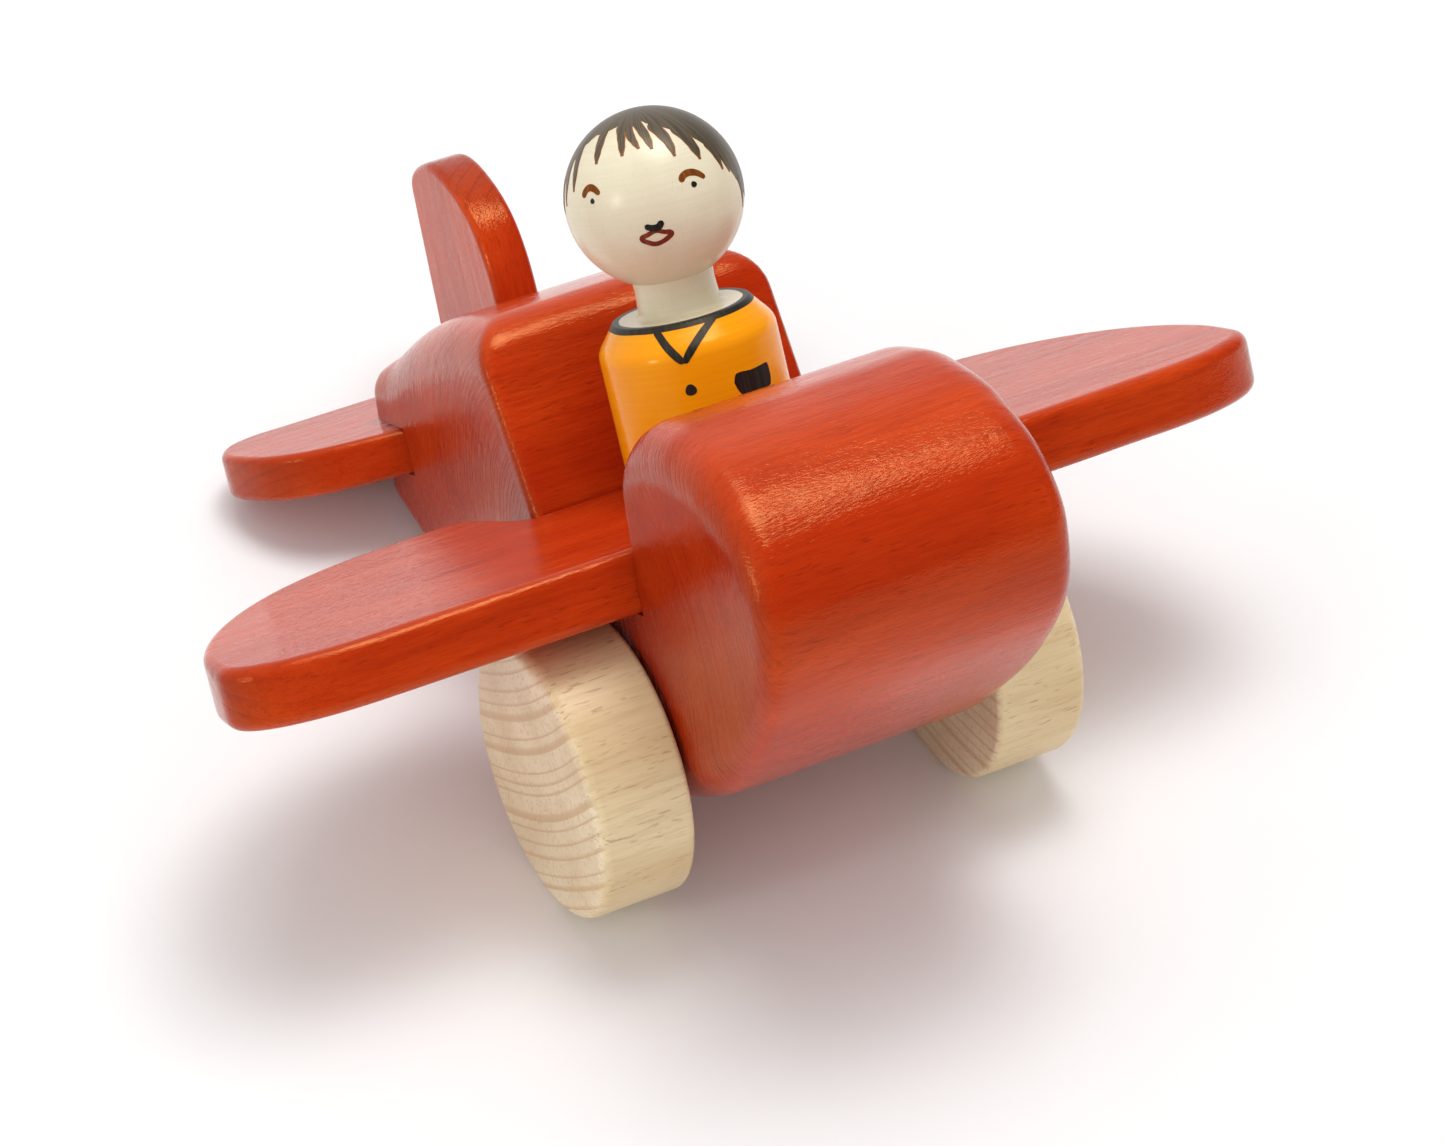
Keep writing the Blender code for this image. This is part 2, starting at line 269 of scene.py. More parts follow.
def arc(centre, radii, start, end, count, edge):
    """Smooth outline points along an elliptical arc; angles in degrees, both ends included."""
    spots = []
    for k in range(count + 1):
        angle = math.radians(start + (end - start) * k / count)
        spots.append((centre[0] + radii[0] * math.cos(angle), centre[1] + radii[1] * math.sin(angle)))
    return smooth(edge, *spots)


def mirrored(right_side):
    """Close an outline with its mirror image across u = 0."""
    return right_side + [(-u, v, edge, bend) for u, v, edge, bend in reversed(right_side)]


# ---- mesh tools

def mesh_object(name, vertices, faces):
    mesh = bpy.data.meshes.new(name)
    mesh.from_pydata([tuple(v) for v in np.asarray(vertices) * MM], [], faces)
    return level_object(name, mesh)


def level_object(name, mesh):
    """Put a mesh drawn in the level frame into the scene, in the row frame."""
    tidy(mesh)
    mesh.transform(LEVEL)
    return add_object(name, mesh)


def add_object(name, data):
    made = bpy.data.objects.new(name, data)
    bpy.context.scene.collection.objects.link(made)
    return made


def tidy(mesh):
    """Merge points that fell together and turn all faces outwards."""
    work = bmesh.new()
    work.from_mesh(mesh)
    bmesh.ops.remove_doubles(work, verts=work.verts, dist=1e-7)
    bmesh.ops.dissolve_degenerate(work, edges=work.edges, dist=1e-7)
    bmesh.ops.recalc_face_normals(work, faces=work.faces)
    work.to_mesh(mesh)
    work.free()


def slab(name, outline, half, centre, standing):
    """A board or block: an outline swept through its thickness, each edge rounded by its own radius.

    Lying, the outline is (x, y) and the thickness is along z; standing, it is (y, z) and along x.
    The rounding wanders by a few hundredths of a millimetre, as hand sanding leaves it.
    """
    path = trace(outline, 1.2)
    spots, edges = path[:, :2], path[:, 2]
    normals = sides(spots)
    wander = np.array([noise.noise(Vector((u / 17, v / 17, half))) for u, v in spots])
    edges = edges * (1 + 0.07 * wander)
    arc_steps = max(5, math.ceil(float(edges.max()) * 1.1) + 2)
    angles = [math.pi / 2 * k / arc_steps for k in range(arc_steps + 1)]
    rings = [edge_ring(spots, normals, edges, half, angle, -1) for angle in reversed(angles)]
    rings += [edge_ring(spots, normals, edges, half, angle, 1) for angle in angles]
    count = len(spots)
    points = np.concatenate(rings)
    faces = [list(range(count))[::-1], [len(points) - count + i for i in range(count)]]
    for layer in range(len(rings) - 1):
        faces += band(layer * count, (layer + 1) * count, count)
    points[:, 2] += centre
    return mesh_object(name, points[:, [2, 0, 1]] if standing else points, faces)


def edge_ring(spots, normals, edges, half, angle, side):
    """The outline at one angle of its rounded edge: 0 on the board's side, a quarter turn on its face."""
    inset = (edges * (1 - math.cos(angle)))[:, None]
    height = half - edges + edges * math.sin(angle)
    return np.column_stack((spots - normals * inset, side * height))


def band(low, high, count):
    """Quads between two closed rings of points."""
    return [[low + i, low + (i + 1) % count, high + (i + 1) % count, high + i] for i in range(count)]


def turned(name, path, steps, axis_to_level):
    """A turned piece: a profile of (radius, height) spun about its axis, then set into the level frame."""
    angles = np.arange(steps) * 2 * math.pi / steps
    ring = np.column_stack((np.cos(angles), np.sin(angles)))
    points = np.concatenate([np.column_stack((radius * ring, np.full(steps, height)))
                             for radius, height in path])
    faces = []
    for layer in range(len(path) - 1):
        faces += band(layer * steps, (layer + 1) * steps, steps)
    matrix = np.array(axis_to_level)
    points = points @ matrix[:3, :3].T + matrix[:3, 3]
    return mesh_object(name, points, faces)


def carve(piece, cutter):
    """Take the cutter's shape out of the piece for good."""
    modifier = piece.modifiers.new("carve", "BOOLEAN")
    modifier.operation = "DIFFERENCE"
    modifier.solver = "MANIFOLD"
    modifier.object = cutter
    bpy.context.view_layer.update()
    graph = bpy.context.evaluated_depsgraph_get()
    mesh = bpy.data.meshes.new_from_object(piece.evaluated_get(graph))
    piece.modifiers.clear()
    piece.data = mesh
    bpy.data.objects.remove(cutter, do_unlink=True)


def soften_shading(piece, angle=38):
    piece.data.shade_smooth()
    piece.data.set_sharp_from_angle(angle=math.radians(angle))
    weighted = piece.modifiers.new("even_shading", "WEIGHTED_NORMAL")
    weighted.keep_sharp = True
    weighted.weight = 90


def finish_piece(piece, material, body, node):
    """Shade, paint and mount a piece on its body, in place of the CAD node."""
    piece.data.materials.clear()
    piece.data.materials.append(material)
    soften_shading(piece)
    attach(piece, body)
    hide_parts(node)


# ---- shader helpers

def new_material(name):
    material = bpy.data.materials.new(name)
    material.use_nodes = True
    return material, material.node_tree


def put(tree, kind, inputs=None, **settings):
    """Add a node, with its settings and its inputs as values or links."""
    made = tree.nodes.new(kind)
    for key, value in settings.items():
        setattr(made, key, value)
    for key, value in (inputs or {}).items():
        feed(tree, made.inputs[key], value)
    return made


def feed(tree, socket, value):
    """Link or set an input; a colour is given as (red, green, blue)."""
    if isinstance(value, bpy.types.NodeSocket):
        tree.links.new(value, socket)
    elif socket.type == "RGBA":
        socket.default_value = (*value, 1.0)
    else:
        socket.default_value = value


def calc(tree, operation, first, second=0.0):
    return put(tree, "ShaderNodeMath", {0: first, 1: second}, operation=operation).outputs[0]


def times(tree, first, second):
    return calc(tree, "MULTIPLY", first, second)


def plus(tree, first, second):
    return calc(tree, "ADD", first, second)


def stretched(tree, vector, factors):
    """A vector with each of its parts multiplied by its own factor."""
    return put(tree, "ShaderNodeVectorMath", {0: vector, 1: factors}, operation="MULTIPLY").outputs[0]


def facing(tree, direction, way):
    """Cosine of the angle between two unit vectors."""
    inputs = {0: direction, 1: way}
    return put(tree, "ShaderNodeVectorMath", inputs, operation="DOT_PRODUCT").outputs["Value"]


def noise_value(tree, vector, scale, detail=2.0, roughness=0.5):
    inputs = {"Vector": vector, "Scale": scale, "Detail": detail, "Roughness": roughness}
    return put(tree, "ShaderNodeTexNoise", inputs).outputs[0]


def spread(tree, value, low, high, out_low=0.0, out_high=1.0):
    """Smoothly map low..high of a value to another range."""
    inputs = {"Value": value, "From Min": low, "From Max": high, "To Min": out_low, "To Max": out_high}
    return put(tree, "ShaderNodeMapRange", inputs, interpolation_type="SMOOTHSTEP").outputs[0]


def blend(tree, share, first, second, mode="MIX"):
    made = put(tree, "ShaderNodeMix", data_type="RGBA", blend_type=mode)
    feed(tree, made.inputs[0], share)
    feed(tree, made.inputs[6], first)
    feed(tree, made.inputs[7], second)
    return made.outputs[2]


def overlay(tree, colour, *layers):
    """Lay tones over a colour, each by its own share."""
    for share, tone in layers:
        colour = blend(tree, share, colour, tone)
    return colour


def relief(tree, *parts):
    """Height in millimetres, summed from (value, millimetres) parts."""
    height = times(tree, *parts[0])
    for value, amount in parts[1:]:
        height = plus(tree, height, times(tree, value, amount))
    return height


def surface(material, colour, roughness, height=None, tint=(1.0, 1.0, 1.0), shine=0.5):
    """Give a material its colour, roughness, relief, and the tint and strength of its highlights."""
    tree = material.node_tree
    inputs = tree.nodes["Principled BSDF"].inputs
    feed(tree, inputs["Base Color"], colour)
    feed(tree, inputs["Roughness"], roughness)
    feed(tree, inputs["Specular Tint"], tint)
    feed(tree, inputs["Specular IOR Level"], shine)
    if height is not None:
        bump = put(tree, "ShaderNodeBump", {"Height": height, "Distance": MM, "Strength": 1.0})
        feed(tree, inputs["Normal"], bump.outputs[0])
    return material


# ---- the wood

def level_place(tree):
    """The shaded point in the level frame, in millimetres; it moves with the piece's body."""
    inputs = {"Vector": put(tree, "ShaderNodeTexCoord").outputs["Object"],
              "Location": TO_LEVEL.translation, "Rotation": TO_LEVEL.to_euler()}
    level = put(tree, "ShaderNodeMapping", inputs, vector_type="POINT").outputs[0]
    return stretched(tree, level, (1 / MM,) * 3)


def wood_space(tree, along, pith, shift):
    """Millimetres along the grain, and two distances across it from the tree's heart."""
    x, y, z = put(tree, "ShaderNodeSeparateXYZ", {0: level_place(tree)}).outputs
    run, first, second = (x, y, z) if along == "X" else (z, x, y)
    return plus(tree, run, shift), plus(tree, first, -pith[0]), plus(tree, second, -pith[1])


def end_grain(tree, along):
    """0 where the surface runs along the fibres, 1 where it cuts straight across them."""
    way = LEVEL.col[0] if along == "X" else LEVEL.col[2]
    normal = put(tree, "ShaderNodeTexCoord").outputs["Normal"]
    across = calc(tree, "ABSOLUTE", facing(tree, normal, tuple(way)[:3]))
    return spread(tree, across, 0.35, 0.95)


def grain(tree, place, lengthwise, across):
    """A texture vector scaled less along the grain than across it, so that features come out long."""
    factors = (lengthwise, across, across)
    inputs = {i: times(tree, place[i], factor) for i, factor in enumerate(factors)}
    return put(tree, "ShaderNodeCombineXYZ", inputs).outputs[0]


def ring_lines(tree, place, spacing, wobble):
    """0 in the pale early wood, rising to 1 at each year's dark line."""
    squares = [times(tree, across, across) for across in place[1:]]
    distance = calc(tree, "SQRT", plus(tree, *squares))
    slow = noise_value(tree, grain(tree, place, 0.008, 0.016), 1.0, 1.0)
    years = calc(tree, "DIVIDE", plus(tree, distance, times(tree, slow, wobble)), spacing)
    uneven = put(tree, "ShaderNodeTexNoise", {"W": years, "Scale": 0.55, "Detail": 1.0},
                 noise_dimensions="1D").outputs[0]
    season = calc(tree, "FRACT", plus(tree, years, times(tree, uneven, 1.4)))
    return times(tree, spread(tree, season, 0.58, 0.94), spread(tree, season, 0.94, 1.0, 1.0, 0.0))


def wood_marks(tree, along, pith, spacing, wobble, shift=0.0):
    """The wood's parts as 0..1 values: year rings, end grain, flecks, streaks, fibre, drift and pores."""
    place = wood_space(tree, along, pith, shift)
    marks = {"rings": ring_lines(tree, place, spacing, wobble), "end": end_grain(tree, along)}
    for name, lengthwise, across, detail in (
            ("fleck", 0.30, 1.9, 1.0), ("fleck_patch", 0.05, 0.16, 1.0), ("streak", 0.07, 0.9, 2.0),
            ("fibre", 0.22, 5.5, 2.0), ("drift", 0.016, 0.06, 2.0), ("pores", 0.9, 7.0, 1.0)):
        marks[name] = noise_value(tree, grain(tree, place, lengthwise, across), 1.0, detail)
    marks["flecks"] = times(tree, spread(tree, marks["fleck"], 0.60, 0.72),
                            spread(tree, marks["fleck_patch"], 0.40, 0.62, 0.35, 1.0))
    marks["peel_at"] = grain(tree, place, 0.7, 2.6)
    return marks


def red_lacquer(name, along, pith, spacing, wobble, shift=0.0):
    """Orange-red stain, deeper on end grain, under a glossy lacquer that follows the wood's texture."""
    material, tree = new_material(name)
    marks = wood_marks(tree, along, pith, spacing, wobble, shift)
    stain = blend(tree, spread(tree, marks["drift"], 0.32, 0.68),
                  (0.48, 0.031, 0.0042), (0.60, 0.053, 0.0066))
    rings = times(tree, marks["rings"], spread(tree, marks["end"], 0.0, 1.0, 0.12, 0.36))
    colour = overlay(tree, stain, (rings, (0.27, 0.012, 0.003)),
                     (spread(tree, marks["streak"], 0.46, 0.66, 0.0, 0.22), (0.29, 0.013, 0.003)),
                     (spread(tree, marks["fibre"], 0.35, 0.70, 0.0, 0.30), (0.33, 0.016, 0.003)),
                     (times(tree, marks["flecks"], 0.32), (0.15, 0.008, 0.003)),
                     (times(tree, marks["end"], 0.30), (0.10, 0.004, 0.001)))
    gloss = spread(tree, noise_value(tree, marks["peel_at"], 0.25), 0.3, 0.7, 0.06, 0.13)
    peel = noise_value(tree, marks["peel_at"], 1.0, 2.0, 0.55)
    swell = noise_value(tree, marks["peel_at"], 0.12, 1.0)
    grooves = spread(tree, marks["end"], 0.0, 1.0, -0.006, -0.030)
    height = relief(tree, (peel, 0.075), (swell, 0.14), (marks["flecks"], -0.012), (marks["rings"], grooves))
    return surface(material, colour, gloss, height, tint=(0.93, 0.51, 0.18))


def bare_beech(name, along, pith, spacing, wobble, shift=0.0):
    """Sanded pale beech: thin brown year lines, short flecks, a dull satin sheen."""
    material, tree = new_material(name)
    marks = wood_marks(tree, along, pith, spacing, wobble, shift)
    wood = blend(tree, spread(tree, marks["drift"], 0.3, 0.7), (0.76, 0.60, 0.385), (0.88, 0.75, 0.53))
    side = spread(tree, marks["end"], 0.0, 1.0, 1.0, 0.0)
    wood = blend(tree, side, wood, (0.96, 0.91, 0.78), "MULTIPLY")
    rings = times(tree, marks["rings"], spread(tree, marks["end"], 0.0, 1.0, 0.12, 0.62))
    colour = overlay(tree, wood, (rings, (0.58, 0.35, 0.15)),
                     (spread(tree, marks["streak"], 0.48, 0.68, 0.0, 0.30), (0.60, 0.42, 0.22)),
                     (spread(tree, marks["fibre"], 0.35, 0.72, 0.0, 0.22), (0.62, 0.42, 0.22)),
                     (times(tree, marks["flecks"], 0.55), (0.42, 0.23, 0.10)))
    rough = spread(tree, marks["pores"], 0.3, 0.7, 0.30, 0.42)
    height = relief(tree, (marks["fibre"], 0.010), (marks["pores"], 0.006),
                    (marks["flecks"], -0.020), (marks["rings"], -0.008))
    return surface(material, colour, rough, height, shine=0.35)


def turning_lines(tree, scale):
    """Fine rings that the lathe leaves round an upright piece."""
    return noise_value(tree, stretched(tree, level_place(tree), (0.03, 0.03, 1.0)), scale, 3.0, 0.6)


def pale_maple():
    """The doll's varnished head and neck: almost white wood with faint turning lines."""
    material, tree = new_material("varnished_maple")
    marks = wood_marks(tree, "Z", (-34.0, 50.0), 2.1, 5.0)
    lines = turning_lines(tree, 2.2)
    wood = blend(tree, spread(tree, marks["drift"], 0.3, 0.7), (0.72, 0.635, 0.445), (0.81, 0.74, 0.555))
    colour = overlay(tree, wood, (spread(tree, lines, 0.35, 0.7, 0.0, 0.14), (0.62, 0.51, 0.34)),
                     (spread(tree, marks["fibre"], 0.4, 0.75, 0.0, 0.10), (0.62, 0.47, 0.30)),
                     (times(tree, marks["flecks"], 0.10), (0.55, 0.38, 0.22)))
    height = relief(tree, (lines, 0.006), (noise_value(tree, marks["peel_at"], 1.3), 0.022))
    return surface(material, colour, 0.26, height, tint=(1.0, 0.92, 0.80))


def orange_lacquer():
    """The doll's orange coat: thin enough that the turning lines still show."""
    material, tree = new_material("orange_lacquer")
    lines = turning_lines(tree, 1.6)
    place = level_place(tree)
    patches = spread(tree, noise_value(tree, place, 0.09, 3.0), 0.4, 0.75, 0.0, 0.30)
    colour = blend(tree, spread(tree, lines, 0.35, 0.7), (0.95, 0.335, 0.004), (0.97, 0.375, 0.005))
    colour = overlay(tree, colour, (patches, (0.93, 0.285, 0.003)))
    height = relief(tree, (lines, 0.006), (noise_value(tree, place, 0.8), 0.030))
    return surface(material, colour, 0.16, height, tint=(0.97, 0.72, 0.32), shine=0.38)


def paint(name, dark, light, roughness, shine=0.3, streak=40.0):
    """Brushed-on paint: two tones streaked along the stroke, and a slightly lumpy surface."""
    material, tree = new_material(name)
    flat = put(tree, "ShaderNodeTexCoord").outputs["UV"]
    strokes = noise_value(tree, stretched(tree, flat, (streak, 1.5, 1.0)), 1.0, 3.0, 0.6)
    colour = blend(tree, spread(tree, strokes, 0.35, 0.72), dark, light)
    height = relief(tree, (noise_value(tree, level_place(tree), 1.6), 0.020), (strokes, 0.010))
    return surface(material, colour, roughness, height, tint=(1.0, 0.84, 0.66), shine=shine)


# ---- the lacquered pieces

PEG_AXIS = Matrix.Translation((0.0, PILOT_Y, 0.0))


def block_outline():
    """Side view of the fuselage block as if it had no cockpit or slots, as (y, z, edge, bend)."""
    nose = smooth(BLOCK_EDGE, (-10.0, 23.2), (-17.0, 24.1), (-27.0, 23.9))
    nose += [(-41.0, 18.4, 7.8, SMOOTH), (-52.5, 7.5, 6.0, SMOOTH), (-55.7, -5.0, 4.8, SMOOTH),
             (-49.5, -19.5, 3.8, SMOOTH), (-35.5, -31.8, 4.4, SMOOTH), (-16.0, -43.6, 8.0, SMOOTH)]
    belly = smooth(BLOCK_EDGE, (6.0, -51.0), (28.0, -53.2))
    belly += [(50.0, -49.6, 8.0, SMOOTH), (72.0, -41.2, 4.0, SMOOTH)]
    tail = [(96.0, -28.6, CRISP, 6.0), (BLOCK_REAR, -7.4, CRISP, 3.0), (BLOCK_REAR, 6.0, CRISP, SMOOTH),
            (BLOCK_REAR, 17.7, 5.0, 5.5)]
    over_cockpit = smooth(BLOCK_EDGE, (42.0, 35.2), (28.0, 28.0), (10.0, 17.0), (2.0, 18.0), (-4.6, 21.1))
    return nose + belly + tail + spine() + over_cockpit


def spine():
    """The rear block's top, which falls faster and faster towards the tail."""
    front, top, low = 56.2, 35.4, 17.7
    spots = []
    for share in (0.85, 0.6, 0.35, 0.15):
        spots.append((front + (BLOCK_REAR - front) * share, low + (top - low) * (1 - share ** 2)))
    return smooth(BLOCK_EDGE, *spots, (front, top + 0.1))


def outline_depth(path, spots):
    """Distance of (y, z) spots from a dense outline, negative inside, and the edge radius there."""
    corners, count, stride = path[:, :2], len(path), 8
    coarse = np.arange(0, count, stride)
    gaps = ((spots[:, None, :] - corners[coarse]) ** 2).sum(-1)
    near = coarse[gaps.argmin(1)][:, None] + np.arange(-stride - 1, stride + 2)
    start = corners[near % count]
    along = corners[(near + 1) % count] - start
    reach = spots[:, None, :] - start
    share = np.clip((reach * along).sum(-1) / (along ** 2).sum(-1), 0.0, 1.0)
    gaps = np.linalg.norm(reach - along * share[..., None], axis=-1)
    row, best = np.arange(len(spots)), gaps.argmin(1)
    way, reach, share = along[row, best], reach[row, best], share[row, best]
    outside = way[:, 1] * reach[:, 0] - way[:, 0] * reach[:, 1] > 0
    first = path[near[row, best] % count, 2]
    second = path[(near[row, best] + 1) % count, 2]
    return np.where(outside, 1.0, -1.0) * gaps[row, best], first + (second - first) * share


def rounded_meet(first, second, radius):
    """The part inside both of two shapes given by distances, with their common edge rounded."""
    a, b = first + radius, second + radius
    return np.minimum(np.maximum(a, b), 0.0) + np.hypot(np.maximum(a, 0.0), np.maximum(b, 0.0)) - radius


def block_distance(x, y, z, depth, edge):
    """Distance from the fuselage block's surface, negative inside; depth and edge come from its outline."""
    block = rounded_meet(depth, np.abs(x) - BLOCK_HALF, edge)
    before = (-GLUE_LINE - COCKPIT_FRONT_LEAN * z - y) / math.hypot(1.0, COCKPIT_FRONT_LEAN)
    behind = (y - COCKPIT_LENGTH - COCKPIT_LEAN * z) / math.hypot(1.0, COCKPIT_LEAN)
    cockpit = np.maximum(np.maximum(before, behind), COCKPIT_FLOOR - z)
    aside = np.clip((np.abs(x) - BLOCK_HALF + BLOCK_EDGE) / BLOCK_EDGE, 0.0, 1.0)
    rim = RIM_EDGE + (CRISP - RIM_EDGE) * ease(aside)
    return rounded_meet(block, -cockpit, rim)


def block_mesh(cell):
    """Points and quads of the block's surface: a net over the cells it crosses, slid onto it."""
    path = trace(block_outline(), 0.4)
    margin = 1.5 * cell
    x, y, z = (np.arange(BLOCK_LOW[i] - margin, BLOCK_HIGH[i] + margin + cell, cell) for i in range(3))
    side_view = np.stack(np.meshgrid(y, z, indexing="ij"), axis=-1).reshape(-1, 2)
    depth, edge = (part.reshape(len(y), len(z)) for part in outline_depth(path, side_view))
    values = block_distance(x[:, None, None], y[:, None], z, depth, edge)
    points, quads = surface_net(values, (x[0], y[0], z[0]), cell)

    def distance(at):
        return block_distance(at[:, 0], at[:, 1], at[:, 2], *outline_depth(path, at[:, 1:]))

    for _ in range(3):
        points = slide_onto(distance, even_out(points, quads))
    return slide_onto(distance, points), quads


def surface_net(values, origin, cell):
    """One point for each grid cell that a distance field's zero surface crosses, and the quads between."""
    places, quads = [], []
    for axis in range(3):
        lower = np.take(values, range(values.shape[axis] - 1), axis)
        upper = np.take(values, range(1, values.shape[axis]), axis)
        crossed = np.argwhere((lower < 0) != (upper < 0))
        a, b = lower[tuple(crossed.T)], upper[tuple(crossed.T)]
        spot = crossed.astype(float)
        spot[:, axis] += a / (a - b)
        one, other = np.eye(3, dtype=int)[(axis + 1) % 3], np.eye(3, dtype=int)[(axis + 2) % 3]
        around = [crossed, crossed - one, crossed - one - other, crossed - other]
        quads.append(np.stack(around, axis=1))
        places.append(spot)
    quads = np.concatenate(quads)
    spots = np.repeat(np.concatenate(places), 4, axis=0)
    cells, faces = np.unique(quads.reshape(-1, 3), axis=0, return_inverse=True)
    faces = faces.reshape(-1)
    counts = np.bincount(faces)
    points = np.column_stack([np.bincount(faces, spots[:, i]) / counts for i in range(3)])
    return points * cell + np.array(origin), faces.reshape(-1, 4)


def even_out(points, quads):
    """Move each point to the middle of its neighbours, so that the net gets even."""
    total = np.zeros_like(points)
    counts = np.zeros(len(points))
    for here, there in ((0, 1), (1, 2), (2, 3), (3, 0)):
        for i, j in ((here, there), (there, here)):
            for axis in range(3):
                total[:, axis] += np.bincount(quads[:, i], points[quads[:, j], axis], len(points))
            counts += np.bincount(quads[:, i], minlength=len(points))
    return total / counts[:, None]


def slide_onto(distance, points, step=0.02):
    """Slide points along a distance field's slope onto its zero surface."""
    here = distance(points)
    slope = np.stack([distance(points + way) - here for way in np.eye(3) * step], axis=1) / step
    return points - slope * (here / np.maximum((slope ** 2).sum(-1), 0.25))[:, None]


def make_block():
    points, quads = block_mesh(BLOCK_CELL)
    block = mesh_object("fuselage", points, quads.tolist())
    far, rear = BLOCK_HALF + CUT_PAST, BLOCK_REAR + CUT_PAST
    carve(block, bar("wing_seat", (-GLUE_LINE, WING_LOW[2] - GLUE_LINE), (COCKPIT_LENGTH, SEAT_TOP), far))
    slot = (SLOT_FRONT, TAIL_LOW[2] - GLUE_LINE), (rear, TAIL_HIGH[2] + GLUE_LINE)
    carve(block, bar("tailplane_slot", *slot, far))
    slot = (SLOT_FRONT, (TAIL_LOW[2] + TAIL_HIGH[2]) / 2), (rear, FIN_HIGH[2])
    carve(block, bar("fin_slot", *slot, FIN_HIGH[0] + GLUE_LINE))
    carve(block, rod("axle_bore", AXLE_RADIUS + GLUE_LINE, -far, far, 64, along_x(AXLE_Y, AXLE_Z)))
    lacquer = red_lacquer("red_lacquer_block", "X", (37.0, -16.0), 1.35, 5.0)
    finish_piece(block, lacquer, "airframe", "fuselage")


def bar(name, low, high, half):
    """A bar along X between two (y, z) corners, used as a cutter."""
    loop = [(low[0], low[1]), (high[0], low[1]), (high[0], high[1]), (low[0], high[1])]
    points = [(x, y, z) for x in (-half, half) for y, z in loop]
    faces = [[3, 2, 1, 0], [4, 5, 6, 7]] + band(0, 4, 4)
    return mesh_object(name, points, faces)


def rod(name, radius, start, end, steps, axis_to_level):
    """A round rod, used as a cutter."""
    path = [(0.0, start), (radius, start), (radius, end), (0.0, end)]
    return turned(name, path, steps, axis_to_level)


def along_x(y, z):
    """Turns a lathe axis (Z) to lie along X through (y, z)."""
    return Matrix.Translation((0.0, y, z)) @ Matrix.Rotation(math.pi / 2, 4, "Y")


def wing_outline():
    """Top view of the wing: straight in front, elliptical behind, coved into the block at the root."""
    half_span = WING_HIGH[0]
    straight_to, tip_y, rear_arc_x = 79.0, 13.2, 55.5
    tip_edge = WING_EDGE + 0.6
    lead = smooth(WING_EDGE, (BLOCK_HALF - 4, 0.0))
    lead += arc((straight_to, tip_y), (half_span - straight_to, tip_y), -90, 0, 6, tip_edge)
    lead += arc((rear_arc_x, tip_y), (half_span - rear_arc_x, WING_CHORD - tip_y), 14, 90, 6, WING_EDGE)
    root = smooth(WING_EDGE, (41.5, WING_CHORD), (38.2, WING_CHORD - 2.6), (35.0, COCKPIT_LENGTH + 6.0),
                  (32.2, COCKPIT_LENGTH + 1.0))
    return mirrored(lead + root + [(BLOCK_HALF, COCKPIT_LENGTH - GLUE_LINE, WING_EDGE, 1.0)])


def make_wing():
    thickness = WING_HIGH[2] - WING_LOW[2]
    wing = slab("wing", wing_outline(), thickness / 2, -thickness / 2, False)
    carve(wing, rod("peg_hole", PEG_RADIUS + GLUE_LINE, -thickness - CUT_PAST, CUT_PAST, 48, PEG_AXIS))
    lacquer = red_lacquer("red_lacquer_wing", "X", (66.0, -120.0), 3.4, 6.0, 31.0)
    finish_piece(wing, lacquer, "airframe", "wing")


def tailplane_outline():
    """Top view of the tailplane: rounded in front and at the tips, straight behind."""
    half_span, rear = TAIL_HIGH[:2]
    root = (BLOCK_HALF - 2.5, SLOT_FRONT + GLUE_LINE, TAIL_EDGE, 0.6)
    tip = smooth(TAIL_EDGE, (39.5, 114.9), (48.5, 118.6), (55.5, 125.2), (59.2, 133.5), (half_span, 141.0),
                 (57.0, 148.0), (50.5, rear), (42.0, rear))
    return mirrored([root] + tip)


def make_tailplane():
    half = (TAIL_HIGH[2] - TAIL_LOW[2]) / 2
    board = slab("tailplane", tailplane_outline(), half, TAIL_LOW[2] + half, False)
    lacquer = red_lacquer("red_lacquer_tailplane", "X", (96.0, -90.0), 2.6, 5.0, 77.0)
    finish_piece(board, lacquer, "airframe", "tailplane")


def fin_outline():
    """Side view of the fin: nearly straight behind, curved in front."""
    foot, rear, top = FIN_LOW[2], FIN_HIGH[1], FIN_HIGH[2]
    front = SLOT_FRONT + GLUE_LINE
    sole = [(front, foot, HIDDEN_EDGE, 0.8), (rear, foot, HIDDEN_EDGE, 0.8)]
    blade = smooth(TAIL_EDGE, (rear - 0.3, foot + 3.0), (rear - 4.2, 45.0), (147.5, 50.8), (142.0, 53.5),
                   (133.0, top), (123.5, 50.2), (116.2, 43.5), (112.6, 34.5), (front, 24.0))
    return sole + blade


def make_fin():
    board = slab("fin", fin_outline(), FIN_HIGH[0], 0.0, True)
    lacquer = red_lacquer("red_lacquer_fin", "Z", (60.0, 40.0), 2.6, 5.0, 13.0)
    finish_piece(board, lacquer, "airframe", "fin")


# ---- the turned pieces

def profile(points, step=0.8):
    """Dense (radius, height) path from a few (radius, height, bend) points."""
    path = trace([(r, h, 0.0, bend) for r, h, bend in points], step, closed=False)
    return path[:, :2]


def make_wheel(name, side):
    """A turned disc with a blind bore, more rounded outside than inside."""
    bore, depth = AXLE_RADIUS + GLUE_LINE, WHEEL_BORE_DEPTH
    points = [(0.0, depth, 0.0), (bore, depth, 0.2), (bore, 0.0, 0.4), (WHEEL_RADIUS, 0.0, 1.2),
              (WHEEL_RADIUS, WHEEL_WIDTH, 2.3), (0.0, WHEEL_WIDTH, 0.0)]
    place = Matrix.Translation((side * WHEEL_LOW[0], AXLE_Y, AXLE_Z))
    wheel = turned(name, profile(points), 160, place @ Matrix.Rotation(side * math.pi / 2, 4, "Y"))
    pith = (52.0, 100.0) if side < 0 else (-34.0, 62.0)
    beech = bare_beech("beech_" + name, "X", pith, 3.0, 4.0, 40.0 * side)
    finish_piece(wheel, beech, "wheelset", name)


